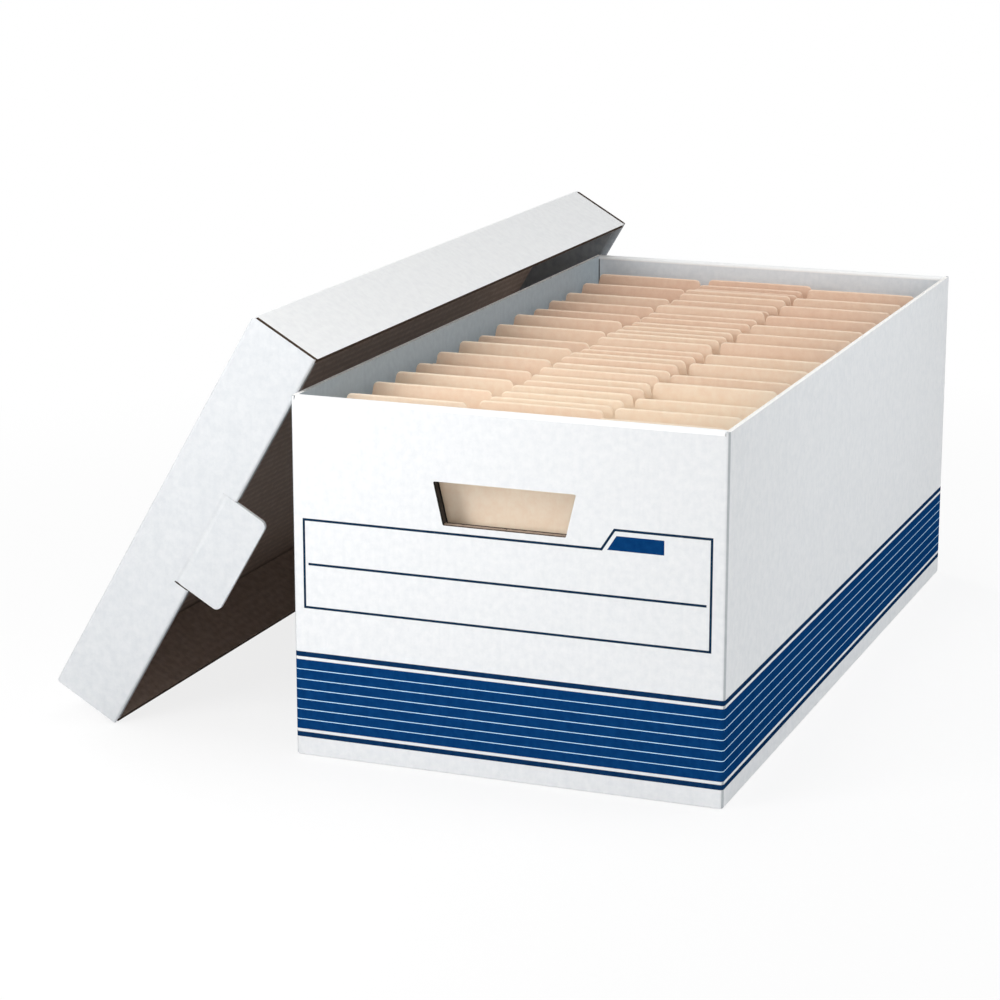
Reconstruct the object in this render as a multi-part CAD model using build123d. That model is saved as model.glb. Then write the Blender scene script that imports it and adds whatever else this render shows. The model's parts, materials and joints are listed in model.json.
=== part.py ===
from build123d import *
import os
from math import copysign, cos, radians, sin, tan

# A corrugated file box with a lift-off lid, filled with manila folders.
# Millimetres. The origin is the centre of the box's underside, X to the right,
# Y to the back, Z up. The lid stands on the floor and leans on the left wall.

os.makedirs("parts", exist_ok=True)

# Corrugated board
board = 3.2
fold_radius = 2.6
seam_gap = 0.6
bottom_seam_x = 38.0
end_plies = 3

# Inside of the box
inside_width = 304.8
inside_depth = 612.0
inside_height = 250.0

# Handhold in both ends, a trapezoid that is wider at its upper edge
handhold_top_width = 102.0
handhold_low_width = 88.0
handhold_height = 30.0
handhold_drop = 50.5
handhold_radius = 1.0

# Lid, with the slack that lets it slip over the box
lid_side_slack = 3.2
lid_end_slack = 0.8
lid_height = 54.5

# Lock tab in each end of the lid, between two slits
tab_width = 78.0
tab_slit = 11.0
tab_reach = 27.0
tab_radius = 5.0
tab_gap = 0.6
crease_gap = 0.2
tab_room = 2.0
flap_clear = 25.0

# How the lid leans, and how far its front lies behind the front of the box
lean_angle = 59.6
lean_gap = 0.3
lid_setback = 12.5

# Folders, one leaf of card with a tab behind a filling of paper
folder_left_gap = 10.4
folder_right_gap = 0.4
folder_floor_gap = 0.3
folder_headroom = 3.2
folder_pitch = 10.0
folder_gap = 0.8
front_room = 14.0
rear_room = 35.0
card = 1.2
filling_drop = 6.0
filling_inset = 2.0

# Tabs on the folders, in three columns counted from the middle
left_column, middle_column, right_column = -1, 0, 1
column_count = 3
column_gap = 1.0
column_margin = 6.5
folder_tab_rise = 12.7
folder_tab_radius = 6.0

# Sizes that follow
end_wall = end_plies * board
floor = 2 * board
outer_width = inside_width + 2 * board
outer_depth = inside_depth + 2 * end_wall
outer_height = inside_height + floor
lid_width = outer_width + 2 * (lid_side_slack + board)
lid_depth = outer_depth + 2 * (lid_end_slack + end_wall)
folder_width = inside_width - folder_left_gap - folder_right_gap
folder_height = inside_height - folder_floor_gap - folder_headroom
leaf_height = folder_height - folder_tab_rise
column_room = folder_width - 2 * column_margin - (column_count - 1) * column_gap
folder_tab_width = column_room / column_count
pair_count = int((inside_depth - front_room - rear_room) // (2 * folder_pitch))

# The lid's lower rim stands where its rim meets the left wall's top edge.
# A lid too narrow to reach that edge leans its upper edge on the wall's face.
lean = radians(lean_angle)
run_to_edge = outer_height / tan(lean) + lean_gap / sin(lean)
run_to_face = lid_width * cos(lean) + lean_gap
foot_x = -outer_width / 2 - min(run_to_edge, run_to_face)
lid_place = Pos(
    foot_x + lid_width / 2 * cos(lean),
    -outer_depth / 2 + lid_setback + lid_depth / 2,
    lid_width / 2 * sin(lean),
) * Rot(0, -lean_angle, 0)

turned = Rot(0, 0, 180)
nodes = {}


def block(x, y, z):
    """A box between two values on each axis."""
    size = [high - low for low, high in (x, y, z)]
    middle = [(high + low) / 2 for low, high in (x, y, z)]
    return Pos(*middle) * Box(*size)


def outline(*points):
    """A flat face inside a closed run of straight lines."""
    return make_face(Polyline(*points, close=True))


def wall(along, across, height):
    """One wall of the folded box on its +X side, its upright edges mitred and rounded."""
    ring = RectangleRounded(2 * across, 2 * along, fold_radius)
    ring -= Rectangle(2 * (across - board), 2 * (along - board))
    deep = 2 * board
    zone = outline(
        (across, -along),
        (across, along),
        (across - deep, along - deep),
        (across - deep, deep - along),
    )
    return extrude(ring & zone, height)


def handhold():
    """The trapezoid that is cut through every ply of both ends."""
    top = outer_height - handhold_drop
    low = top - handhold_height
    face = outline(
        (-handhold_low_width / 2, low),
        (handhold_low_width / 2, low),
        (handhold_top_width / 2, top),
        (-handhold_top_width / 2, top),
    )
    face = fillet(face.vertices(), handhold_radius)
    return extrude(Plane.XZ * face, outer_depth, both=True)


def rolled_ply(half_width, crown_front, back, foot, crown):
    """An inner ply from its foot to its folded crown, which reaches forward over the plies in front of it."""
    front = back - board
    edge = crown - copysign(board, crown - foot)
    section = outline(
        (front, foot),
        (back, foot),
        (back, crown),
        (crown_front, crown),
        (crown_front, edge),
        (front, edge),
    )
    folds = [v for v in section.vertices() if abs(v.Y - crown) < board / 2]
    section = fillet(folds, fold_radius)
    return Pos(-half_width, 0, 0) * extrude(Plane.YZ * section, 2 * half_width)


def box_sides():
    side = wall(outer_depth / 2, outer_width / 2, outer_height)
    nodes["right_side_panel"] = side
    nodes["left_side_panel"] = turned * side


def box_ends():
    """Each end has an outer panel, two corner flaps behind it and a rolled-over liner."""
    half = outer_width / 2 - board
    face = -outer_depth / 2
    hole = handhold()
    under_crown = outer_height - board
    panel = Rot(0, 0, -90) * wall(outer_width / 2, outer_depth / 2, under_crown) - hole
    flap = block((-half, -seam_gap / 2), (face + board, face + 2 * board), (floor, under_crown)) - hole
    liner = rolled_ply(half, face, face + end_wall, floor, outer_height) - hole
    pieces = {
        "end_panel": panel,
        "left_corner_flap": flap,
        "right_corner_flap": mirror(flap, about=Plane.YZ),
        "end_liner": liner,
    }
    for name, piece in pieces.items():
        nodes["front_" + name] = piece
        nodes["rear_" + name] = mirror(piece, about=Plane.XZ)


def box_bottom():
    """Two long flaps under two short ones make a double bottom."""
    half_x = outer_width / 2 - board
    half_y = outer_depth / 2 - board
    seam = seam_gap / 2
    front = block((-half_x, half_x), (-half_y, -seam), (board, floor))
    nodes["left_bottom_flap"] = block((-half_x, bottom_seam_x - seam), (-half_y, half_y), (0, board))
    nodes["right_bottom_flap"] = block((bottom_seam_x + seam, half_x), (-half_y, half_y), (0, board))
    nodes["front_bottom_flap"] = front
    nodes["rear_bottom_flap"] = turned * front


def lid_tray():
    """The lid in its own frame: its rim at z = 0, its top panel above."""
    half_x = lid_width / 2
    half_y = lid_depth / 2
    under_top = lid_height - board
    top = block((-half_x, half_x), (-half_y, half_y), (under_top, lid_height))
    top = fillet(top.faces().sort_by(Axis.Z)[-1].edges(), fold_radius)
    right = block((half_x - board, half_x), (board - half_y, half_y - board), (0, under_top))
    return {
        "lid_top_panel": top,
        "lid_right_skirt": right,
        "lid_left_skirt": turned * right,
    }


def lid_ends():
    """Each end of the lid has a skirt, two corner flaps, a rolled liner and a lock tab."""
    half_x = lid_width / 2
    face = -lid_depth / 2
    under_top = lid_height - board
    inner = half_x - board
    flap_end = tab_width / 2 + flap_clear
    notch = tab_width / 2 + tab_gap
    skirt = block((-half_x, half_x), (face, face + board), (0, under_top))
    skirt -= block((-notch, notch), (face, face + board), (0, tab_slit))
    flap = block((-inner, -flap_end), (face + board, face + 2 * board), (board, under_top))
    liner = rolled_ply(inner, face + board, face + end_wall, under_top, 0)
    liner -= block((-notch - tab_room, notch + tab_room), (face, face + end_wall), (0, tab_slit + crease_gap))
    tab_top = tab_slit - crease_gap
    tab = Pos(0, (tab_top - tab_reach) / 2) * Rectangle(tab_width, tab_top + tab_reach)
    tab = fillet(tab.vertices().group_by(Axis.Y)[0], tab_radius)
    pieces = {
        "skirt": skirt,
        "left_flap": flap,
        "right_flap": mirror(flap, about=Plane.YZ),
        "liner": liner,
        "tab": Pos(0, face + board, 0) * extrude(Plane.XZ * tab, board),
    }
    ends = {}
    for name, piece in pieces.items():
        ends["lid_front_" + name] = piece
        ends["lid_rear_" + name] = mirror(piece, about=Plane.XZ)
    return ends


def folder(column, front):
    """A folder whose tab stands in one of the three columns."""
    back = front + folder_pitch - folder_gap
    left = -inside_width / 2 + folder_left_gap
    middle = left + folder_width / 2
    step = folder_tab_width + column_gap
    tab_x = column * step
    tab_height = folder_tab_rise + 2 * folder_tab_radius
    leaf = Pos(0, leaf_height / 2) * Rectangle(folder_width, leaf_height)
    leaf += Pos(tab_x, folder_height - tab_height / 2) * RectangleRounded(
        folder_tab_width, tab_height, folder_tab_radius
    )
    bottom = floor + folder_floor_gap
    leaf = Pos(middle, back, bottom) * extrude(Plane.XZ * leaf, card)
    filling = block(
        (left + filling_inset, left + folder_width - filling_inset),
        (front, back - card),
        (bottom, bottom + leaf_height - filling_drop),
    )
    return leaf + filling


def folder_pairs():
    """Folders two by two. Every second one has a middle tab, the others right and left in turn."""
    first = -inside_depth / 2 + front_room
    for number in range(pair_count):
        outside = left_column if number % 2 else right_column
        start = first + 2 * number * folder_pitch
        pair = [folder(outside, start), folder(middle_column, start + folder_pitch)]
        nodes[f"manila_pair_{number + 1:02d}"] = Compound([f.solid() for f in pair])


box_sides()
box_ends()
box_bottom()
for name, piece in {**lid_tray(), **lid_ends()}.items():
    nodes[name] = lid_place * piece
folder_pairs()

for name, piece in nodes.items():
    export_step(piece, f"parts/{name}.step")
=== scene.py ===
"""A white corrugated file box full of manila folders, with its lid leaned on its left side."""

import json
import math
import random

import bmesh
import bpy
from mathutils import Matrix, Vector
from mathutils.geometry import tessellate_polygon


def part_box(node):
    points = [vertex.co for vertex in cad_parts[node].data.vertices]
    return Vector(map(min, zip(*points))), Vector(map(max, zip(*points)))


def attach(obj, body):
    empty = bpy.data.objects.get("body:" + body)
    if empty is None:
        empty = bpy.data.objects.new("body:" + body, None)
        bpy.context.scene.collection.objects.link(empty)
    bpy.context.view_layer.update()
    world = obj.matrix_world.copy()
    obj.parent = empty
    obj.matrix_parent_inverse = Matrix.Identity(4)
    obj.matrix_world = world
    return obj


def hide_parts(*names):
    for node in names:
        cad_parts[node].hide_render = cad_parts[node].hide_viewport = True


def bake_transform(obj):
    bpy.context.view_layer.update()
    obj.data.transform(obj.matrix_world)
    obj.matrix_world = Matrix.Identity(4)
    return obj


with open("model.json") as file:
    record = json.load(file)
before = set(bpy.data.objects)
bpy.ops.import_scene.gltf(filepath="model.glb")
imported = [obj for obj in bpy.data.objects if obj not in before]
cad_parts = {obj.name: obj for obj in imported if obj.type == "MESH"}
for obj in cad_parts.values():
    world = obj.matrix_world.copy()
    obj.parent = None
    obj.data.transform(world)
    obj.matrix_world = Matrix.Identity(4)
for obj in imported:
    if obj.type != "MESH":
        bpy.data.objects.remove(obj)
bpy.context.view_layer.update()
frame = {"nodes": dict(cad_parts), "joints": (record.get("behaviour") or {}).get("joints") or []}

X, Y, Z = Vector((1, 0, 0)), Vector((0, 1, 0)), Vector((0, 0, 1))
HALF_TURN = Matrix.Rotation(math.pi, 4, "Z")

# Corrugated board, in metres. Its outer paper lies a skin's depth inside the CAD faces.
SKIN = 0.0001
LINER = 0.00045
MEDIUM = 0.0003
FLUTE_PITCH = 0.0064
FLUTE_STEPS = 8
EDGE_SLOT = 0.003
CUT_LOW, CUT_HIGH = 0.0009, 0.0003
LINING_GAP = 0.0009
FOLD = 0.0026
FOOT_FOLD = 0.0013
RIM_FOLD = 0.002
RIM_ROLL = 0.005
FOLD_STEPS = 10
# Faces of a corner post's fold, counted from the side wall, that take the painted shade
FOLD_SHADE = 8
CURVE_STEP = FOLD / 3
SHARP = math.radians(50)
FLAT, SIDEWAYS = 0.01, 0.1
TOUCH = 1e-5
DIGITS = 6

# Material slots of a piece of board. The last slot carries painted light on folds: painted shade on the
# corner posts, a painted highlight on the crowns.
OUTSIDE, INSIDE, CORE, PAINTED_FOLD = range(4)
LONG_EDGE = 2

# Look of paper. Noise has a scale, a detail and a stretch.
CLOUDS = (190, 4)
SPECKS = (700, 4)
FIBRES = (500, 3, (1, 1, 0.15))
CLOUD_SHARE = 0.65
RIB_SHADE = 0.06
SHADE_LOW, SHADE_HIGH = 0.38, 0.64
SPECK_LOW, SPECK_HIGH = 0.3, 0.7
DULL_SPREAD = 0.08
RELIEF_STRENGTH = 0.5
# Tilts at which a face of the bare board turns from pale to the painted shade of upright faces
LEVEL_LOW, LEVEL_HIGH = 0.4, 0.6

# Print on the box: stripes all round it, and a frame to write in on its front
INK = 0.00005
STRIPE_INK, HAIR_INK, LINE_INK = range(3)
TAG_INK = 1
BAND_LOW, BAND_HIGH = 0.0135, 0.0756
BAND_LINE = 0.0036
BAND_GAP = 0.0022
HAIR_LINES = 6
HAIR_WIDTH = 0.00055
LABEL_LINE = 0.0017
LABEL_LEFT, LABEL_RIGHT = -0.147, 0.145
LABEL_LOW, LABEL_MIDDLE, LABEL_HIGH, LABEL_TOP = 0.108, 0.139, 0.1705, 0.1845
LABEL_NOTCH = 0.069
LABEL_SLANT = 0.009
LABEL_INDENT = 0.003
TAG_LEFT, TAG_RIGHT = 0.073, 0.1125
TAG_LOW, TAG_HIGH = 0.1705, 0.1805

# Lock tabs of the lid
SLIT_GAP = 0.0006
SCORE = 0.001
CREASE_LOW, CREASE_HIGH = 0.0045, 0.001
CREASE_DIP = 0.0005
CREASE_STEPS = 12
TAB_ROOM = 0.002
TAB_SHIFT = 0.00045
CORNER_GAP = 0.0012

# Folders and their papers
FOLDER_GAP = 0.0008
CARD = 0.0005
CARD_INSET = 0.0005
SIDE_GAP = (0.0002, 0.0012)
TAB_COLUMNS = 3
TAB_RISE = 0.0127
TAB_MARGIN = 0.0065
TAB_SPACING = 0.001
TAB_RADIUS = 0.004
TAB_SLANT = math.radians(80)
TAB_DROP = 0.0035
TAB_SLUMP = 0.001
TAB_SWAY = 0.0015
LEAF_LEAN = 0.004
LEAF_BOW = 0.0012
EDGE_BAND = 0.0013
FRONT_DROP = 0.003
LEAF_COLUMNS, CORNER_STEPS = 16, 6
FRONT_STEPS, CURL_STEPS, BACK_STEPS = 5, 6, 8
TINT_START, TINT_RISE, TINT_SPREAD, PAINTED_EDGE_HIGHLIGHT = 0.04, 0.6, 0.12, 0.25
SHEET = 0.0003
SHEET_COUNT = 6
SHEET_REAR = 0.006
SHEET_FOOT = 0.006
SHEET_SWAY, SHEET_RISE = 0.004, 0.001
SHEET_WIDTH, SHEET_HEIGHT = 0.2794, 0.2159

# Floor, camera and light. A lamp has a place, an aim, a size, a power and perhaps a colour.
FLOOR_SIZE, FLOOR_DROP = 60, 0.0004
FADE_START, FADE_END, FADE_LEAST = 0.4, 1.1, 0.82
CAMERA_PLACE = (0.6744, -2.0521, 0.6697)
CAMERA_AZIMUTH, CAMERA_ELEVATION = 21.30, 14.22
CAMERA_LENS, CAMERA_SENSOR = 104.05, 36
SKY = 0.36
LAMPS = {
    "key": ((-1.19, -2.96, 0.9), (0, 0, 0.1), 0.7, 10.2),
    "front": ((0.7, -2.6, 0.5), (0, 0, 0.1), 0.6, 8.3),
    "side": ((0.85, 0.05, 0.6), (0, 0, 0.15), 0.6, 2.4, (0.94, 0.975, 1)),
    "near": ((-0.33, -0.75, 0.55), (-0.05, -0.2, 0.15), 0.3, 2.05),
    "overhead": ((0.2, 0.1, 3.0), (0, 0, 0.1), 2.0, 24),
    "back": ((-2.4, 1.9, 1.5), (0, 0, 0.1), 1.0, 28),
}


def srgb(red, green, blue):
    """A colour as a screen shows it, from 0 to 255, in Blender's linear values."""
    shares = [value / 255 for value in (red, green, blue)]
    return (*[s / 12.92 if s <= 0.04045 else ((s + 0.055) / 1.055) ** 2.4 for s in shares], 1)


def ease(share):
    """0 before 0, 1 after 1, and a smooth rise between."""
    share = min(max(share, 0), 1)
    return share * share * (3 - 2 * share)


def corners_in(node, place):
    """A CAD node's points in another frame."""
    back = place.inverted()
    made = frame["nodes"][node]
    return [back @ made.matrix_world @ vertex.co for vertex in made.data.vertices]


def span_in(node, place):
    """Lowest and highest corner of a CAD node in another frame."""
    columns = list(zip(*corners_in(node, place)))
    return Vector(map(min, columns)), Vector(map(max, columns))


class Shader:
    """A material in the making."""

    def __init__(self, name):
        self.material = bpy.data.materials.new(name)
        self.material.use_nodes = True
        self.tree = self.material.node_tree
        self.surface = self.tree.nodes["Principled BSDF"]
        self.place = self.node("ShaderNodeTexCoord").outputs["Object"]

    def node(self, kind, inputs=(), **settings):
        made = self.tree.nodes.new(kind)
        for key, value in settings.items():
            setattr(made, key, value)
        for key, value in dict(inputs).items():
            self.put(made.inputs[key], value)
        return made

    def put(self, socket, value):
        if isinstance(value, bpy.types.NodeSocket):
            self.tree.links.new(value, socket)
        else:
            socket.default_value = value

    def math(self, operation, first, second=0.0):
        return self.node("ShaderNodeMath", {0: first, 1: second}, operation=operation).outputs[0]

    def noise(self, scale, detail, stretch=(1, 1, 1)):
        """Noise from 0 to 1 with features of about 1 / scale metres."""
        place = self.node("ShaderNodeVectorMath", {0: self.place, 1: stretch}, operation="MULTIPLY")
        inputs = {"Vector": place.outputs[0], "Scale": scale, "Detail": detail}
        return self.node("ShaderNodeTexNoise", inputs).outputs["Fac"]

    def waves(self, direction, pitch):
        """A sine from 0 to 1 along a direction."""
        turns = Vector(direction) * (2 * math.pi / pitch)
        along = self.node("ShaderNodeVectorMath", {0: self.place, 1: turns}, operation="DOT_PRODUCT")
        return self.spread(self.math("SINE", along.outputs["Value"]), -1, 1, 0, 1)

    def spread(self, value, low, high, to_low, to_high):
        inputs = {0: value, 1: low, 2: high, 3: to_low, 4: to_high}
        return self.node("ShaderNodeMapRange", inputs).outputs[0]

    def mix(self, share, first, second):
        return self.node("ShaderNodeMix", {0: share, 6: first, 7: second}, data_type="RGBA").outputs[2]


def finish_paper(
    shader, pale, deep, roughness=0.7, relief=0.00007, gloss=0.25, flutes=None, flute_share=0.25
):
    """Gives a material the look of paper: clouds, flecks and fibres, and ribs where flutes show through, with
    painted shade in step with the ribs' relief.
    """
    clouds = shader.math("MULTIPLY", shader.noise(*CLOUDS), CLOUD_SHARE)
    specks = shader.noise(*SPECKS)
    fibres = shader.noise(*FIBRES)
    flecks = shader.math("MULTIPLY", shader.math("ADD", specks, fibres), 0.5)
    shade = shader.math("ADD", clouds, shader.math("MULTIPLY", flecks, 1 - CLOUD_SHARE))
    height = flecks
    if flutes:
        ribs = shader.waves(flutes, FLUTE_PITCH)
        # The ribs darken the colour in step with their relief: painted shade along the flutes.
        shade = shader.math("ADD", shade, shader.math("MULTIPLY", ribs, RIB_SHADE * flute_share))
        height = shader.math("ADD", flecks, shader.math("MULTIPLY", ribs, flute_share))
    colour = shader.mix(shader.spread(shade, SHADE_LOW, SHADE_HIGH, 0, 1), pale, deep)
    shader.put(shader.surface.inputs["Base Color"], colour)
    least, most = roughness - DULL_SPREAD, roughness + DULL_SPREAD
    dull = shader.spread(specks, SPECK_LOW, SPECK_HIGH, least, most)
    shader.put(shader.surface.inputs["Roughness"], dull)
    bump = shader.node("ShaderNodeBump", {"Strength": RELIEF_STRENGTH, "Distance": relief, "Height": height})
    shader.put(shader.surface.inputs["Normal"], bump.outputs[0])
    shader.surface.inputs["Specular IOR Level"].default_value = gloss
    return shader.material


def paper(name, pale, deep, **look):
    return finish_paper(Shader(name), srgb(*pale), srgb(*deep), **look)


def manila():
    """Folder card, from cream to peach as the mesh's tint says."""
    shader = Shader("manila_card")
    tint = shader.node("ShaderNodeAttribute", attribute_name="tint").outputs["Fac"]
    pale = shader.mix(tint, srgb(255, 239, 217), srgb(241, 201, 177))
    deep = shader.mix(tint, srgb(252, 231, 207), srgb(232, 190, 166))
    return finish_paper(shader, pale, deep, roughness=0.6, relief=0.00005)


def bare_board_painted_shade():
    """The bare inside of the box's board: pale where it is cut level, and dark on upright faces and along the
    flutes as painted shade for the upright cuts in the handholds.
    """
    shader = Shader("box_kraft_painted_shade")
    facing = shader.node("ShaderNodeTexCoord").outputs["Normal"]
    level = shader.math("ABSOLUTE", shader.node("ShaderNodeSeparateXYZ", {0: facing}).outputs[2])
    share = shader.spread(level, LEVEL_LOW, LEVEL_HIGH, 1, 0)
    pale = shader.mix(share, srgb(184, 165, 149), srgb(52, 45, 40))
    deep = shader.mix(share, srgb(168, 149, 133), srgb(40, 35, 31))
    return finish_paper(shader, pale, deep)


def find_lid():
    """The lid's own frame: its middle on the rim's plane, x up its slope, z from the rim to its top."""
    fold = next(j for j in frame["joints"] if j["name"] == "lid_front_tab_fold")
    slope = Vector(fold["axis"])
    turn = Matrix((slope, Y, slope.cross(Y))).transposed().to_4x4()
    low, high = span_in("lid_top_panel", turn)
    rim = span_in("lid_left_skirt", turn)[0].z
    return turn @ Matrix.Translation(((low.x + high.x) / 2, (low.y + high.y) / 2, rim))


lid_place = find_lid()
slope, lift = lid_place.to_3x3() @ X, lid_place.to_3x3() @ Z
box_white = paper("box_white", (233, 234, 235), (225, 227, 229), relief=0.00005, flutes=X + Y)
# Painted shade: a darker white on the corner posts' folds, where the board turns from the front to the side
# and lies in shade.
box_fold_painted_shade = paper("box_fold_painted_shade", (188, 192, 195), (180, 184, 187))
# Painted shade: the inside of the long walls is a darker, bluer copy of the ends' inside paper, for the shade
# that the lid, the folders and the walls cast there.
box_side_inside_painted_shade = paper("box_side_inside_painted_shade", (188, 200, 207), (179, 191, 199), flutes=X + Y, flute_share=0.5)
box_end_inside = paper("box_end_inside", (240, 245, 249), (232, 238, 243), flutes=X + Y, flute_share=0.5)
# Painted highlight: the core and cut edges of the box's white board are near pure white, so the cut along the
# top of the long walls shows as lit from above.
box_core_painted_highlight = paper("box_core_painted_highlight", (255, 254, 252), (251, 249, 246))
# Painted highlight: the crowns on top of the ends are whiter than the box's white board, for the light that
# falls on them from above.
box_crown_painted_highlight = paper("box_crown_painted_highlight", (252, 252, 252), (249, 250, 250), relief=0.00002)
lid_white = paper("lid_white", (215, 217, 219), (206, 209, 212), flutes=slope)
# Painted highlight: the long skirts and the top's long folded edges take a whiter copy of the lid's white
# paper, for the light on the skirt that faces up.
lid_side_white_painted_highlight = paper("lid_side_white_painted_highlight", (250, 251, 251), (243, 244, 245), flutes=lift)
lid_inside = paper("lid_inside", (172, 151, 137), (148, 128, 115), flutes=slope, flute_share=3.5)
lid_side_inside = paper("lid_side_inside", (172, 151, 137), (148, 128, 115), flutes=lift, flute_share=1)
# Painted shade: the lid's end linings and their rolled rims are white board turned inwards, given a grey for
# the deep shade inside the lid.
lid_lining_painted_shade = paper("lid_lining_painted_shade", (146, 150, 153), (130, 134, 138), flutes=slope)
# Painted shade: a kraft darker than the board's own brown, for the lid's cut edges and flaps, which show as
# dark lines in shade.
kraft_painted_shade = paper("kraft_painted_shade", (92, 73, 60), (70, 55, 45))
box_kraft_painted_shade = bare_board_painted_shade()
manila_card = manila()
sheet_white = paper("sheet_white", (243, 242, 238), (234, 233, 228), relief=0.00002)
blue_ink = paper("blue_ink", (13, 61, 113), (7, 52, 101), gloss=0)
pale_ink = paper("pale_ink", (196, 231, 255), (188, 224, 252), gloss=0)
line_ink = paper("line_ink", (18, 52, 90), (11, 42, 77), gloss=0)
slate_ink = paper("slate_ink", (28, 52, 76), (20, 40, 62), gloss=0)


def plane(origin, u, v):
    """The frame of a flat face: u and v lie along it, and w points out of it."""
    return Matrix.Translation(origin) @ Matrix((u, v, u.cross(v))).transposed().to_4x4()


def rectangle(low, high):
    return [(low[0], low[1]), (high[0], low[1]), (high[0], high[1]), (low[0], high[1])]


def ring(points):
    """The points of a convex outline, put in order around it."""
    points = sorted({(round(u, DIGITS), round(v, DIGITS)) for u, v in points})
    middle_u = sum(u for u, v in points) / len(points)
    middle_v = sum(v for u, v in points) / len(points)
    return sorted(points, key=lambda p: math.atan2(p[1] - middle_v, p[0] - middle_u))


def inset(loop, distance):
    """A closed outline moved inwards, with mitred corners. A negative distance moves it outwards."""
    loop = [Vector(p) for p in loop]
    moved = []
    for before, here, after in zip(loop[-1:] + loop[:-1], loop, loop[1:] + loop[:1]):
        first, second = (here - before).normalized(), (after - here).normalized()
        turned = Vector((-first.y - second.y, first.x + second.x))
        moved.append(tuple(here + turned * (distance / (1 + first.dot(second)))))
    return moved


def spans(loops, u):
    """The stretches of v that lie inside an outline and outside its holes at u."""
    hits = []
    for loop in loops:
        for (u0, v0), (u1, v1) in zip(loop, loop[1:] + loop[:1]):
            if (u0 <= u) != (u1 <= u):
                hits.append(v0 + (v1 - v0) * (u - u0) / (u1 - u0))
    hits.sort()
    return list(zip(hits[::2], hits[1::2]))


def arc(centre, first, second, radius=FOLD, skin=SKIN):
    """Points of a quarter turn around a centre, a skin's depth inside its radius."""
    turns = [math.pi / 2 * i / FOLD_STEPS for i in range(FOLD_STEPS + 1)]
    return [centre + (first * math.cos(t) + second * math.sin(t)) * (radius - skin) for t in turns]


def widen(loop):
    """A hole made wider along u, so that the flutes end short of its sides."""
    middle = (min(u for u, v in loop) + max(u for u, v in loop)) / 2
    return [(u + math.copysign(EDGE_SLOT, u - middle), v) for u, v in loop]


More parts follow.
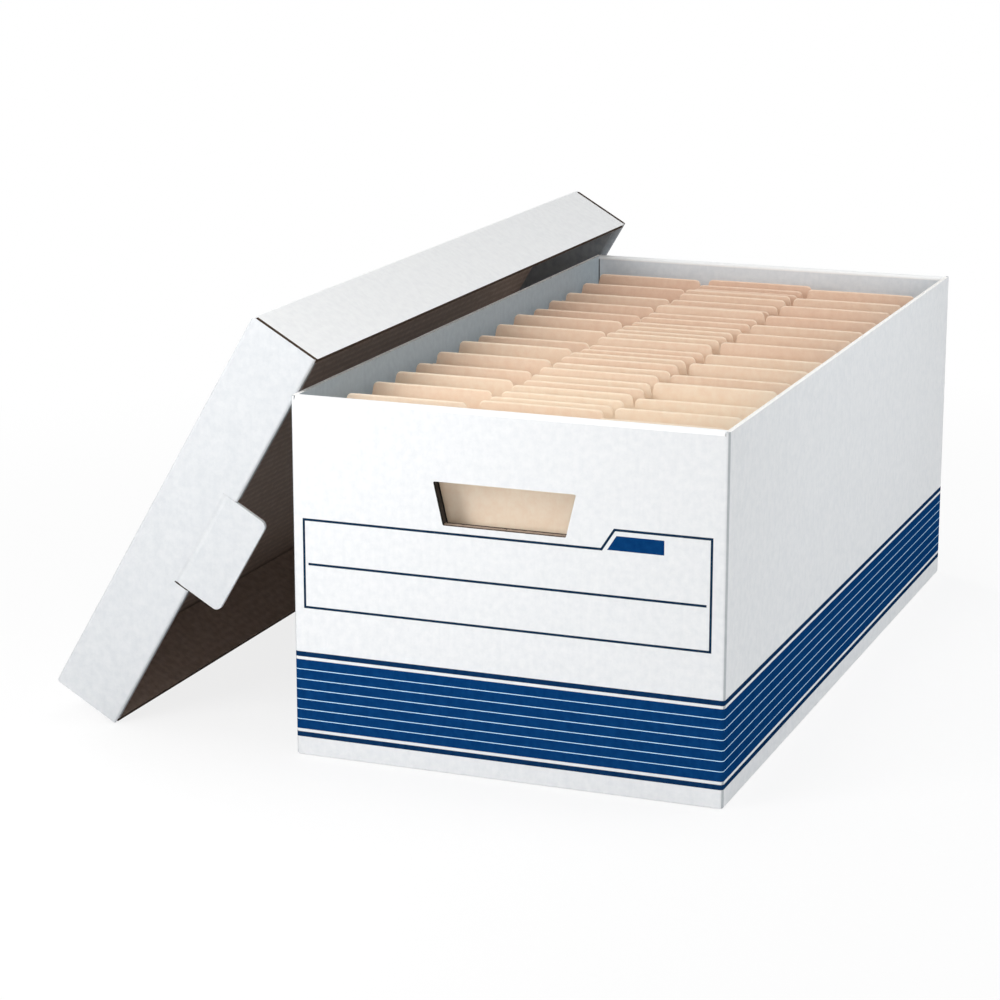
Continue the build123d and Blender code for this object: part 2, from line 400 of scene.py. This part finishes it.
class Piece:
    """A mesh in the making. Its points are in its own frame, and place puts that in the row frame."""

    def __init__(self, name, materials, place=Matrix()):
        self.name, self.materials, self.place = name, materials, place
        self.mesh = bmesh.new()

    def points(self, places):
        return [self.mesh.verts.new(p) for p in places]

    def face(self, corners, slot=0, smooth=False):
        made = self.mesh.faces.new(corners)
        made.material_index, made.smooth = slot, smooth

    def slab(self, loops, face, high, low, slot=0, back=None):
        """A sheet between two heights over a flat face. The first loop is its outline, others are holes."""
        back = slot if back is None else back
        flat = [p for loop in loops for p in loop]
        upper = self.points(face @ Vector((u, v, high)) for u, v in flat)
        lower = self.points(face @ Vector((u, v, low)) for u, v in flat)
        for triangle in tessellate_polygon([[Vector((u, v, 0)) for u, v in loop] for loop in loops]):
            self.face([upper[i] for i in triangle], slot)
            self.face([lower[i] for i in triangle], back)
        start = 0
        for loop in loops:
            count = len(loop)
            for i in range(count):
                a, b = start + i, start + (i + 1) % count
                self.face((upper[a], upper[b], lower[b], lower[a]), back)
            start += count

    def flutes(self, loops, face, thickness):
        """The wavy paper inside a board. The waves run along v and end short of the edges beside them."""
        places = [u for u, v in loops[0]]
        low, high = min(places) + EDGE_SLOT, max(places) - EDGE_SLOT
        loops = loops[:1] + [widen(loop) for loop in loops[1:]]
        count = round((high - low) / FLUTE_PITCH * FLUTE_STEPS)
        swing = thickness / 2 - LINER - MEDIUM / 2
        last = []
        for i in range(count + 1):
            u = low + (high - low) * i / count
            w = swing * math.cos(2 * math.pi * u / FLUTE_PITCH) - thickness / 2
            lifts = (w + MEDIUM / 2, w - MEDIUM / 2)
            column = [
                self.points(face @ Vector((u, v, lift)) for lift in lifts for v in span)
                for span in spans(loops, u)
            ]
            if len(column) == len(last):
                for (a, b, c, d), (e, f, g, h) in zip(last, column):
                    for corners in ((a, b, f, e), (c, d, h, g), (a, c, g, e), (b, d, h, f)):
                        self.face(corners, CORE, smooth=True)
            last = column

    def board(self, loops, face, thickness, inner=None):
        """Corrugated board under a flat face: outer paper, inner paper and the flutes between."""
        self.slab(loops, face, -SKIN, -LINER, OUTSIDE, back=CORE)
        self.slab(inner or loops, face, -thickness, LINER - thickness, INSIDE, back=CORE)
        self.flutes(loops, face, thickness)

    def loft(self, sections, slots, cap):
        """A solid through several sections, smooth where their points lie close together."""
        rows = [self.points(section) for section in sections]
        for before, after in zip(rows, rows[1:]):
            for i in range(len(before)):
                curved = (sections[-1][i] - sections[-1][i - 1]).length < CURVE_STEP
                corners = (before[i - 1], before[i], after[i], after[i - 1])
                self.face(corners, slots[i % len(slots)], curved)
        for row in (rows[0], rows[-1]):
            self.face(row, cap)

    def prism(self, section, start, end, slot=OUTSIDE, cap=CORE):
        """A section drawn from start to end."""
        self.loft([[base + p for p in section] for base in (start, end)], [slot], cap)

    def bend(self, start, end, first, second, radius):
        """A folded edge, drawn along its centre line, that turns from one outward direction to the other."""
        self.prism([Vector(), *arc(Vector(), first, second, radius)], start, end)

    def post(self, centre, top, first, second):
        """An upright folded edge, rounded under its foot, with painted shade on the side that comes first."""
        slots = [PAINTED_FOLD if i < FOLD_SHADE else OUTSIDE for i in range(FOLD_STEPS + 2)]
        sections = []
        for i in range(FOLD_STEPS + 1):
            turn = math.pi / 2 * (1 - i / FOLD_STEPS)
            level = centre + Z * (FOOT_FOLD - (FOOT_FOLD - SKIN) * math.sin(turn))
            sections.append([level, *arc(level, first, second, FOLD - FOOT_FOLD * (1 - math.cos(turn)))])
        level = centre + Z * top
        sections.append([level, *arc(level, first, second)])
        self.loft(sections, slots, PAINTED_FOLD)

    def build(self):
        bmesh.ops.recalc_face_normals(self.mesh, faces=self.mesh.faces[:])
        self.mesh.normal_update()
        for edge in self.mesh.edges:
            edge.smooth = edge.calc_face_angle(0) < SHARP
        mesh = bpy.data.meshes.new(self.name)
        self.mesh.transform(self.place)
        self.mesh.to_mesh(mesh)
        self.mesh.free()
        for material in self.materials:
            mesh.materials.append(material)
        made = bpy.data.objects.new(self.name, mesh)
        bpy.context.scene.collection.objects.link(made)
        return made

    def ride(self, body, node=None):
        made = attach(self.build(), body)
        if node:
            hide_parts(node)
        return made


# Box sizes from the CAD nodes
side_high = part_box("right_side_panel")[1]
end_low, end_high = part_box("front_end_panel")
half_x, half_y, height = side_high.x, -end_low.y, side_high.z
board = end_high.y - end_low.y
lining_low, lining_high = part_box("front_end_liner")
handhold = ring(
    (p.x, p.z)
    for p in corners_in("front_end_panel", Matrix())
    if abs(p.y + half_y) < TOUCH and abs(p.x) < half_x / 2
)


def box_side(name, place):
    """A long single wall, cut along its top and folded at its foot."""
    piece = Piece(f"{name}_side_board", (box_white, box_side_inside_painted_shade, box_core_painted_highlight), place)
    reach = half_y - FOLD
    face = plane(X * half_x, Y, Z)
    piece.board([rectangle((-reach, FOOT_FOLD), (reach, height))], face, board)
    # The top cut shows the core's painted highlight.
    cut = rectangle((-reach, height - CUT_LOW), (reach, height - CUT_HIGH))
    piece.slab([cut], face, -LINER, LINER - board, CORE)
    foot = Vector((half_x - FOOT_FOLD, 0, FOOT_FOLD))
    piece.bend(foot - Y * reach, foot + Y * reach, X, -Z, FOOT_FOLD)
    piece.ride("box", f"{name}_side_panel")


def box_end(name, place):
    """The outer ply of an end, with the folds round both corners."""
    piece = Piece(f"{name}_end_board", (box_white, box_kraft_painted_shade, box_kraft_painted_shade, box_fold_painted_shade), place)
    reach = half_x - FOLD
    outline = rectangle((-reach, FOOT_FOLD), (reach, height - FOLD))
    piece.board([outline, handhold], plane(Y * -half_y, X, Z), board)
    foot = Vector((0, FOOT_FOLD - half_y, FOOT_FOLD))
    piece.bend(foot - X * reach, foot + X * reach, -Y, -Z, FOOT_FOLD)
    for side in (-1, 1):
        piece.post(Vector((side * reach, FOLD - half_y, 0)), height - SKIN, X * side, -Y)
    piece.ride("box", f"{name}_end_panel")


def box_lining(name, place):
    """The inner ply of an end and the crown where the board rolls over the plies, whiter than the board as a
    painted highlight.
    """
    piece = Piece(f"{name}_end_lining", (box_end_inside, box_kraft_painted_shade, box_kraft_painted_shade, box_crown_painted_highlight), place)
    half, back = lining_high.x, lining_high.y
    reach = half - LINING_GAP
    loops = [rectangle((-reach, lining_low.z), (reach, height - FOLD)), handhold]
    piece.board(loops, plane(Y * back, -X, Z), board)
    front_turn = arc(Vector((0, FOLD - half_y, height - FOLD)), -Y, Z)
    back_turn = arc(Vector((0, back - FOLD, height - FOLD)), Z, Y)
    piece.prism(front_turn + back_turn, X * -half, X * half, slot=PAINTED_FOLD, cap=PAINTED_FOLD)
    piece.ride("box", f"{name}_end_liner")


def stripes():
    """Lower edge, upper edge and ink of each printed stripe and of the pale lines between them."""
    yield BAND_LOW, BAND_LOW + BAND_LINE, LINE_INK
    yield BAND_HIGH - BAND_LINE, BAND_HIGH, LINE_INK
    low = BAND_LOW + BAND_LINE + BAND_GAP
    room = BAND_HIGH - BAND_LINE - BAND_GAP - low
    width = (room - HAIR_LINES * HAIR_WIDTH) / (HAIR_LINES + 1)
    for i in range(HAIR_LINES + 1):
        start = low + i * (width + HAIR_WIDTH)
        yield start, start + width, STRIPE_INK
        if i < HAIR_LINES:
            yield start + width, start + width + HAIR_WIDTH, HAIR_INK


def print_band():
    """Stripes that run round the four walls and their folds."""
    piece = Piece("print_band", (blue_ink, pale_ink, line_ink))
    turns = [(X, -Y), (Y, X), (-X, Y), (-Y, -X)]
    paths = []
    for skin in (SKIN - INK, SKIN):
        path = []
        for first, second in turns:
            out = first + second
            centre = Vector((out.x * (half_x - FOLD), out.y * (half_y - FOLD), 0))
            path += arc(centre, second, first, skin=skin)
        paths.append(path)
    for low, high, ink in stripes():
        rows = [piece.points(p + Z * level for p in path) for path in paths for level in (low, high)]
        outer_low, outer_high, inner_low, inner_high = rows
        sides = [
            (outer_low, outer_high),
            (inner_low, inner_high),
            (outer_low, inner_low),
            (outer_high, inner_high),
        ]
        for i in range(len(outer_low)):
            curved = (paths[0][i] - paths[0][i - 1]).length < CURVE_STEP
            for a, b in sides:
                piece.face((a[i - 1], a[i], b[i], b[i - 1]), ink, curved)
    piece.ride("box")


def print_label():
    """The frame to write in, its middle line and a plain tag in its raised corner."""
    piece = Piece("print_label", (slate_ink, blue_ink))
    front = plane(Y * -half_y, X, Z)
    outline = [
        (LABEL_LEFT, LABEL_LOW),
        (LABEL_RIGHT, LABEL_LOW),
        (LABEL_RIGHT, LABEL_TOP),
        (LABEL_NOTCH + LABEL_SLANT, LABEL_TOP),
        (LABEL_NOTCH, LABEL_HIGH),
        (LABEL_LEFT, LABEL_HIGH),
    ]
    rule = rectangle(
        (LABEL_LEFT + LABEL_INDENT, LABEL_MIDDLE - LABEL_LINE / 2),
        (LABEL_RIGHT - LABEL_INDENT, LABEL_MIDDLE + LABEL_LINE / 2),
    )
    slant = LABEL_SLANT * (TAG_HIGH - TAG_LOW) / (LABEL_TOP - LABEL_HIGH)
    tag = [(TAG_LEFT, TAG_LOW), (TAG_RIGHT, TAG_LOW), (TAG_RIGHT, TAG_HIGH), (TAG_LEFT + slant, TAG_HIGH)]
    edges = [inset(outline, -LABEL_LINE / 2), inset(outline, LABEL_LINE / 2)]
    piece.slab(edges, front, INK - SKIN, -SKIN)
    piece.slab([rule], front, INK - SKIN, -SKIN)
    piece.slab([tag], front, INK - SKIN, -SKIN, TAG_INK)
    piece.ride("box")


# Lid sizes from the CAD nodes, in the lid's own frame
lid_low, lid_high = span_in("lid_top_panel", lid_place)
lid_x, lid_y, lid_top = lid_high
under_top = lid_low.z
roll_high = span_in("lid_front_liner", lid_place)[1]
tab_high = span_in("lid_front_tab", lid_place)[1]
tab_loop = ring((p.x, p.z) for p in corners_in("lid_front_tab", lid_place) if abs(p.y + lid_y) < TOUCH)
notch = tab_high.x + SLIT_GAP
slit = tab_high.z + CREASE_HIGH


def lid_plate():
    """The top of the lid, with folded edges all round."""
    piece = Piece("lid_top_board", (lid_white, lid_inside, lid_side_white_painted_highlight), lid_place)
    size = Vector((lid_x - SKIN, lid_y - SKIN, (lid_top - SKIN - under_top) / 2)) * 2
    middle = Vector((0, 0, under_top + size.z / 2))
    bmesh.ops.create_cube(piece.mesh, matrix=Matrix.Translation(middle) @ Matrix.Diagonal(size).to_4x4())
    rims = [e for e in piece.mesh.edges if all(v.co.z > middle.z for v in e.verts)]
    bmesh.ops.bevel(
        piece.mesh, geom=rims, offset=FOLD - SKIN, segments=FOLD_STEPS, profile=0.5, affect="EDGES"
    )
    piece.mesh.normal_update()
    for face in piece.mesh.faces:
        if face.normal.z < -FLAT:
            face.material_index = INSIDE
        # The long folded edges take the long skirts' painted highlight.
        elif abs(face.normal.x) > SIDEWAYS:
            face.material_index = LONG_EDGE
        face.smooth = FLAT < face.normal.z < 1 - FLAT
    piece.ride("lid", "lid_top_panel")


def lid_long_skirt(name, place):
    """A long single skirt, with flutes along it and a cut rim."""
    piece = Piece(f"lid_{name}_skirt_board", (lid_side_white_painted_highlight, lid_side_inside, kraft_painted_shade), place)
    reach = span_in("lid_right_skirt", lid_place)[1].y - CORNER_GAP
    outline, inner = (rectangle((gap - under_top, -reach), (0, reach)) for gap in (0, SCORE))
    piece.board([outline], plane(X * lid_x, -Z, Y), board, [inner])
    piece.ride("lid", f"lid_{name}_skirt")


def lid_end_skirt(name, place):
    """The outer ply of an end skirt: cut at its sides, rolled at its rim, and slit beside the tab."""
    piece = Piece(f"lid_{name}_skirt_board", (lid_white, kraft_painted_shade, kraft_painted_shade), place)
    outline = [
        (-lid_x, RIM_FOLD),
        (-notch, RIM_FOLD),
        (-notch, slit),
        (notch, slit),
        (notch, RIM_FOLD),
        (lid_x, RIM_FOLD),
        (lid_x, under_top),
        (-lid_x, under_top),
    ]
    piece.board([outline], plane(Y * -lid_y, X, Z), board)
    for side in (-1, 1):
        rim = Vector((side * notch, RIM_FOLD - lid_y, RIM_FOLD))
        piece.bend(rim, rim + X * side * (lid_x - notch), -Y, -Z, RIM_FOLD)
    piece.ride("lid", f"lid_{name}_skirt")


def lid_end_lining(name, place):
    """The inner ply of an end skirt and the roll along its rim, open where the tab folds in. Its white paper
    and the roll take a grey as painted shade.
    """
    piece = Piece(f"lid_{name}_lining", (lid_lining_painted_shade, kraft_painted_shade, kraft_painted_shade), place)
    half, back = roll_high.x, roll_high.y
    room = notch + TAB_ROOM
    outline = [
        (-half, RIM_ROLL),
        (-room, RIM_ROLL),
        (-room, slit),
        (room, slit),
        (room, RIM_ROLL),
        (half, RIM_ROLL),
        (half, under_top),
        (-half, under_top),
    ]
    piece.board([outline], plane(Y * back, -X, Z), board)
    section = [
        Vector((0, RIM_FOLD - lid_y, RIM_ROLL)),
        Vector((0, RIM_FOLD - lid_y, SKIN)),
        *arc(Vector((0, back - RIM_ROLL, RIM_ROLL)), -Z, Y, RIM_ROLL),
    ]
    for side in (-1, 1):
        piece.prism(section, X * side * room, X * side * half)
    piece.ride("lid", f"lid_{name}_liner")


def lid_tab(name, place):
    """A lock tab, and the creased paper that it folds on."""
    body = f"lid_{name}_tab"
    foot = tab_high.z - CREASE_LOW
    piece = Piece(f"{body}_board", (lid_white, lid_inside), place)
    loop = [(u + TAB_SHIFT, min(v, foot)) for u, v in tab_loop]
    piece.slab([loop], plane(Y * -lid_y, X, Z), -SKIN, LINER - board)
    piece.slab([loop], plane(Y * -lid_y, X, Z), LINER - board, -board, INSIDE)
    piece.ride(body, body)

    strip = Piece(f"lid_{name}_crease", (lid_white,), place)
    left, right = TAB_SHIFT - tab_high.x, TAB_SHIFT + tab_high.x
    rows = []
    for i in range(CREASE_STEPS + 1):
        level = foot + (slit - foot) * i / CREASE_STEPS
        dip = CREASE_DIP * math.sin(math.pi * i / CREASE_STEPS) ** 2
        outer, inner = SKIN - lid_y + dip, LINER - lid_y + dip
        corners = ((left, outer), (left, inner), (right, inner), (right, outer))
        rows.append(strip.points(Vector((u, y, level)) for u, y in corners))
    for before, after in zip(rows, rows[1:]):
        for i in range(len(before)):
            strip.face((before[i - 1], before[i], after[i], after[i - 1]), smooth=True)
    strip.face(rows[0])
    strip.face(rows[-1])
    made = strip.build()
    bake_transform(made)


# Where the round corner of a folder's tab starts and ends, inside the foot of its slanted side
tab_side = TAB_RISE / math.tan(TAB_SLANT)
tab_bend = TAB_RADIUS * math.tan(TAB_SLANT / 2)
tab_turn, tab_flat = tab_side - tab_bend * math.cos(TAB_SLANT), tab_side + tab_bend


def tab_height(inside):
    """How far a tab rises over the shoulder at a distance inside its foot: aslant, then in a round corner."""
    if inside < tab_turn:
        return max(inside, 0) * math.tan(TAB_SLANT)
    return TAB_RISE - TAB_RADIUS + math.sqrt(TAB_RADIUS**2 - max(tab_flat - inside, 0) ** 2)


def folder_columns(left, right, tab_left, tab_right):
    """Where a folder's mesh has its columns: evenly, and close together at the tab's corners."""
    places = {left + (right - left) * i / LEAF_COLUMNS for i in range(LEAF_COLUMNS + 1)}
    places |= {tab_left, tab_right}
    for i in range(CORNER_STEPS + 1):
        inside = tab_turn + (tab_flat - tab_turn) * (1 - math.cos(math.pi / 2 * i / CORNER_STEPS))
        places |= {tab_left + inside, tab_right - inside}
    return sorted(places)


def folder(piece, tint, chance, column, low, high, front, back):
    """A folded card whose back leaf has a tab, between a front and a back limit."""
    left, right = low.x + chance.uniform(*SIDE_GAP), high.x - chance.uniform(*SIDE_GAP)
    room = (high.x - low.x - 2 * TAB_MARGIN - (TAB_COLUMNS - 1) * TAB_SPACING) / TAB_COLUMNS
    middle = (low.x + high.x) / 2 + column * (room + TAB_SPACING) + chance.uniform(-TAB_SWAY, TAB_SWAY)
    tab_left, tab_right = middle - room / 2, middle + room / 2
    top = high.z - CARD - chance.uniform(0, TAB_DROP) - TAB_SLUMP * (1 - column)
    shoulder = top - TAB_RISE
    front_y, back_y = front + CARD_INSET, back - CARD_INSET
    lean, bow = chance.uniform(0, LEAF_LEAN), chance.uniform(0, LEAF_BOW)
    # The tint rises from the front of the box to the back, so the rear folders are darker and pinker: partly
    # the cards' own colour, partly painted shade for the folders deeper in the box.
    tone = TINT_START + TINT_RISE * (front + half_y) / (2 * half_y)
    tone += chance.uniform(-TINT_SPREAD, TINT_SPREAD)
    curl = (back_y - front_y) / 2
    foot = low.z + CARD / 2 + curl
    grid = []
    for x in folder_columns(left, right, tab_left, tab_right):
        crest = shoulder + tab_height(min(x - tab_left, tab_right - x))
        sag = bow * (2 * (x - middle) / room) ** 2 if tab_left <= x <= tab_right else bow
        face_top = shoulder - FRONT_DROP
        # The top edge of the front leaf is paler: a painted highlight where light catches it.
        row = [(front_y, face_top - EDGE_BAND * i, tone - PAINTED_EDGE_HIGHLIGHT * (i == 0)) for i in range(2)]
        fall = foot - face_top
        row += [(front_y, face_top + fall * i / FRONT_STEPS, tone) for i in range(1, FRONT_STEPS)]
        turns = [math.pi * i / CURL_STEPS for i in range(CURL_STEPS + 1)]
        row += [(front_y + curl - curl * math.cos(t), foot - curl * math.sin(t), tone) for t in turns]
        rise = crest - EDGE_BAND - foot
        levels = [foot + rise * i / BACK_STEPS for i in range(1, BACK_STEPS + 1)]
        # The crest of the back leaf and its tab take the same painted highlight.
        for z, shift in [(z, 0) for z in levels] + [(crest, -PAINTED_EDGE_HIGHLIGHT)]:
            row.append((back_y - (lean + sag) * ease((z - foot) / (high.z - foot)), z, tone + shift))
        points = piece.points(Vector((x, y, z)) for y, z, shade in row)
        for vertex, (y, z, shade) in zip(points, row):
            vertex[tint] = shade
        grid.append(points)
    for before, after in zip(grid, grid[1:]):
        for i in range(1, len(before)):
            piece.face((before[i - 1], before[i], after[i], after[i - 1]), smooth=True)


def sheets(piece, chance, low, high, front, back):
    """The papers in a folder, a little out of line with each other."""
    middle = (low.x + high.x) / 2
    start, end = front + 2 * CARD_INSET, back - SHEET_REAR
    for i in range(SHEET_COUNT):
        y = start + (end - start) * i / (SHEET_COUNT - 1)
        x = middle + chance.uniform(-SHEET_SWAY, SHEET_SWAY)
        z = low.z + SHEET_FOOT + chance.uniform(0, SHEET_RISE)
        outline = rectangle((x - SHEET_WIDTH / 2, z), (x + SHEET_WIDTH / 2, z + SHEET_HEIGHT))
        piece.slab([outline], plane(Y * y, X, Z), SHEET / 2, -SHEET / 2)


def folder_pair(number):
    """Two folders that lift together, and their papers."""
    node = f"manila_pair_{number:02d}"
    chance = random.Random(number)
    low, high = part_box(node)
    depth = (high.y - low.y - FOLDER_GAP) / 2
    card = Piece(f"folders_{number:02d}", (manila_card,))
    papers = Piece(f"papers_{number:02d}", (sheet_white,))
    tint = card.mesh.verts.layers.float.new("tint")
    for column, front in ((1 if number % 2 else -1, low.y), (0, low.y + depth + FOLDER_GAP)):
        folder(card, tint, chance, column, low, high, front, front + depth)
        sheets(papers, chance, low, high, front, front + depth)
    made = card.ride(node, node)
    thick = made.modifiers.new("card", "SOLIDIFY")
    thick.thickness, thick.offset = CARD, 0
    papers.ride(node)


for name, place in (("right", Matrix()), ("left", HALF_TURN)):
    box_side(name, place)
    lid_long_skirt(name, lid_place @ place)
for name, place in (("front", Matrix()), ("rear", HALF_TURN)):
    box_end(name, place)
    box_lining(name, place)
    lid_end_skirt(name, lid_place @ place)
    lid_end_lining(name, lid_place @ place)
    lid_tab(name, lid_place @ place)
lid_plate()
print_band()
print_label()
pair_count = sum(name.startswith("manila_pair") for name in frame["nodes"])
for number in range(1, pair_count + 1):
    folder_pair(number)

# The flaps stay as CAD solids. They show only in the handholds, at cut edges and at the bottom.
for name, node in frame["nodes"].items():
    for ending, look in (("bottom_flap", box_white), ("corner_flap", box_kraft_painted_shade), ("flap", kraft_painted_shade)):
        if name.endswith(ending):
            node.data.materials.clear()
            node.data.materials.append(look)
            break


def seen_rays(tree):
    """1 for the rays that show the backdrop, and 0 for those that light the object."""
    rays = tree.nodes.new("ShaderNodeLightPath").outputs
    seen = rays["Is Camera Ray"]
    for kind in ("Is Glossy Ray", "Is Transmission Ray"):
        either = tree.nodes.new("ShaderNodeMath")
        either.operation = "MAXIMUM"
        tree.links.new(seen, either.inputs[0])
        tree.links.new(rays[kind], either.inputs[1])
        seen = either.outputs[0]
    return seen


def floor():
    """A pale floor that turns white away from the object and keeps its shadow."""
    bpy.ops.mesh.primitive_plane_add(size=FLOOR_SIZE, location=(0, 0, -FLOOR_DROP))
    made = bpy.context.object
    made.name = "floor"
    shader = Shader("floor")
    reach = shader.node("ShaderNodeVectorMath", {0: shader.place}, operation="LENGTH").outputs["Value"]
    fade = shader.spread(reach, FADE_START, FADE_END, FADE_LEAST, 1)
    share = shader.math("MULTIPLY", seen_rays(shader.tree), fade)
    shader.surface.inputs["Base Color"].default_value = srgb(247, 247, 247)
    shader.surface.inputs["Roughness"].default_value = 0.9
    glow = shader.node("ShaderNodeEmission", {"Color": (1, 1, 1, 1), "Strength": 1.0})
    mixed = shader.node("ShaderNodeMixShader", {0: share, 1: shader.surface.outputs[0], 2: glow.outputs[0]})
    shader.put(shader.tree.nodes["Material Output"].inputs["Surface"], mixed.outputs[0])
    made.data.materials.append(shader.material)


def sky(strength):
    """An even white surround that shows as plain white."""
    world = bpy.data.worlds.new("surround")
    bpy.context.scene.world = world
    world.use_nodes = True
    nodes, links = world.node_tree.nodes, world.node_tree.links
    level = nodes.new("ShaderNodeMapRange")
    links.new(seen_rays(world.node_tree), level.inputs[0])
    level.inputs[3].default_value, level.inputs[4].default_value = strength, 1
    background = nodes["Background"]
    background.inputs["Color"].default_value = (1, 1, 1, 1)
    links.new(level.outputs[0], background.inputs["Strength"])


def lamp(name, place, aim, size, power, colour=(1, 1, 1)):
    data = bpy.data.lights.new(name, "AREA")
    data.size, data.energy, data.color = size, power, colour
    made = bpy.data.objects.new(name, data)
    made.location = place
    made.rotation_euler = (Vector(place) - Vector(aim)).to_track_quat("Z", "Y").to_euler()
    made.visible_camera = False
    bpy.context.scene.collection.objects.link(made)


def camera():
    data = bpy.data.cameras.new("camera")
    data.lens, data.sensor_width = CAMERA_LENS, CAMERA_SENSOR
    made = bpy.data.objects.new("camera", data)
    made.location = CAMERA_PLACE
    made.rotation_euler = (math.radians(90 - CAMERA_ELEVATION), 0, math.radians(CAMERA_AZIMUTH))
    bpy.context.scene.collection.objects.link(made)
    bpy.context.scene.camera = made


floor()
sky(SKY)
for name, look in LAMPS.items():
    lamp(name, *look)
camera()
bpy.context.scene.view_settings.view_transform = "Standard"
